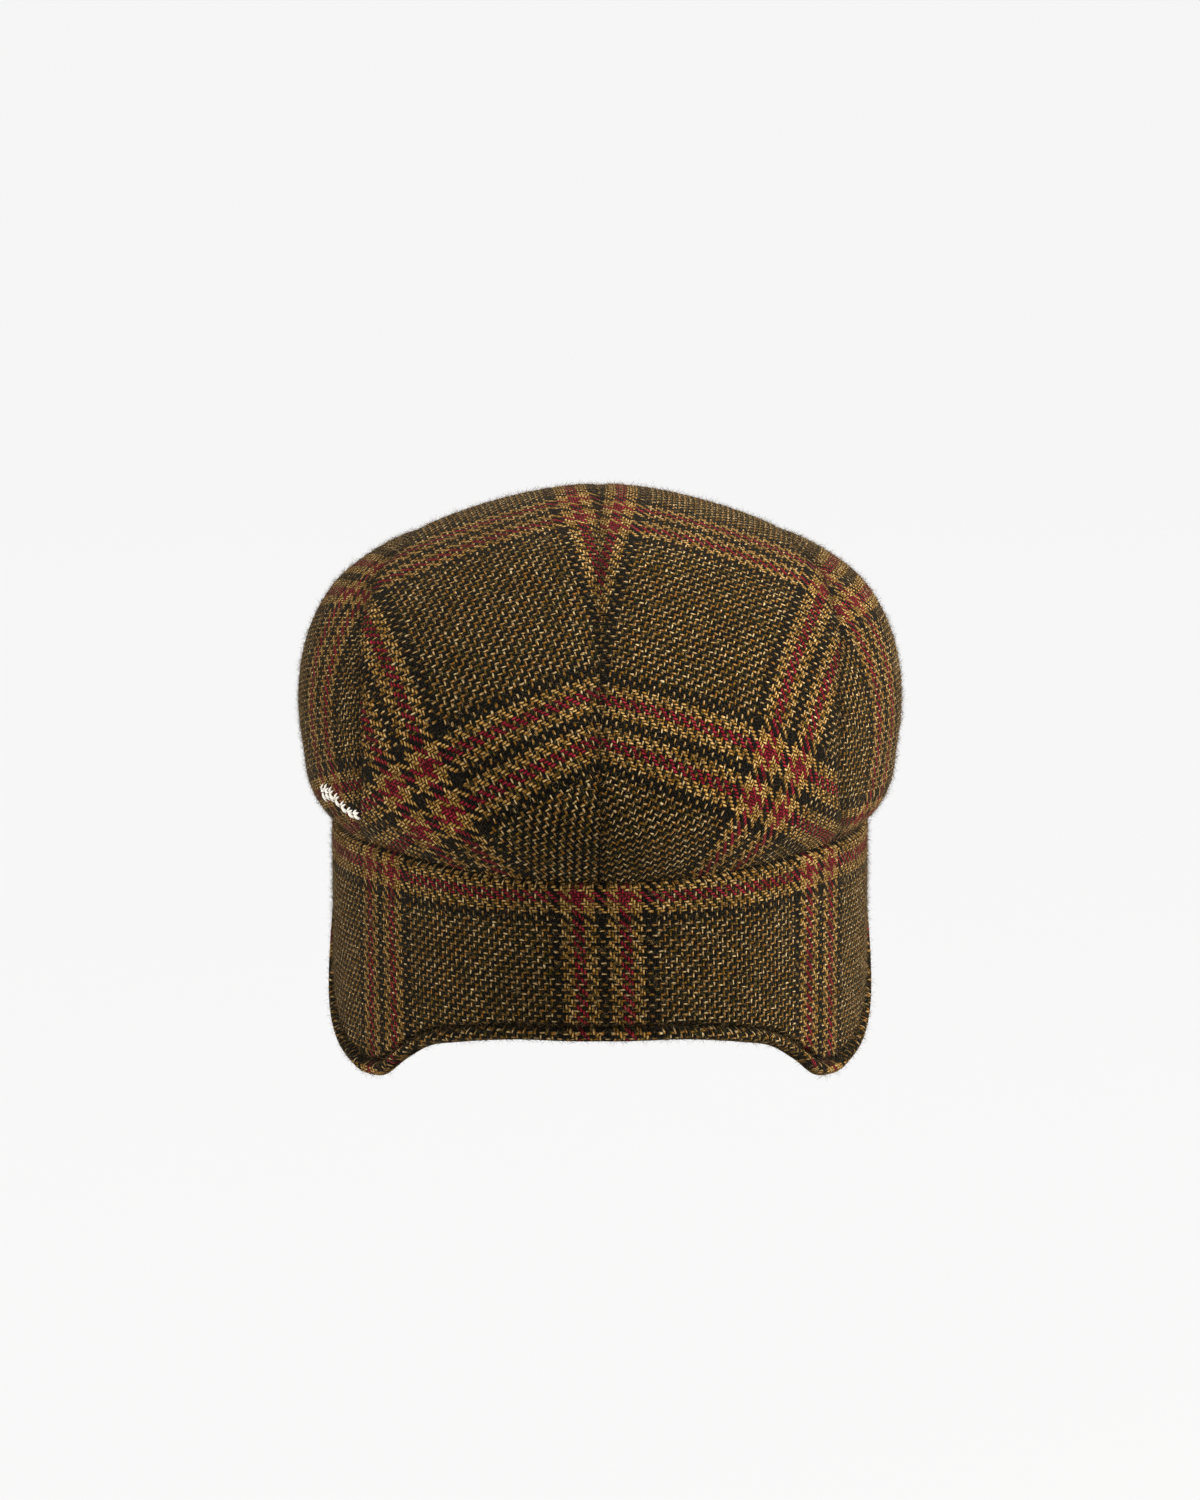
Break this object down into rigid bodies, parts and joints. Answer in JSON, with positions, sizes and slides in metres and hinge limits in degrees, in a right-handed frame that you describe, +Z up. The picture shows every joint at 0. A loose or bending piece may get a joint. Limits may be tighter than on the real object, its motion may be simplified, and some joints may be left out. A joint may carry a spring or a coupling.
{
  "type": "flat cap",
  "caption": "Soft tweed flat cap with a panelled rounded crown, a peak in front and a turned-down flap round the back of the neck and the ears.",
  "frame": {"origin": "middle of the head opening, level with the back of the seam between crown and flap, where the cap sits on a head", "axes": "+Y forward to the peak, +X to the wearer's right, +Z up through the crown"},
  "size_m": [0.1858, 0.2657, 0.1724],
  "materials": {
    "tweed_crown": "brushed wool twill with a dark, tan and red overcheck",
    "tweed_flap": "brushed wool twill with a dark, tan and red overcheck",
    "tweed_peak": "brushed wool twill over a stiff core"
  },
  "bodies": {
    "root": {"crown_top_left": "tweed_crown", "crown_top_right": "tweed_crown", "crown_side_left": "tweed_crown", "crown_side_right": "tweed_crown", "ear_flap": "tweed_flap", "peak": "tweed_peak"}
  },
  "joints": []
}
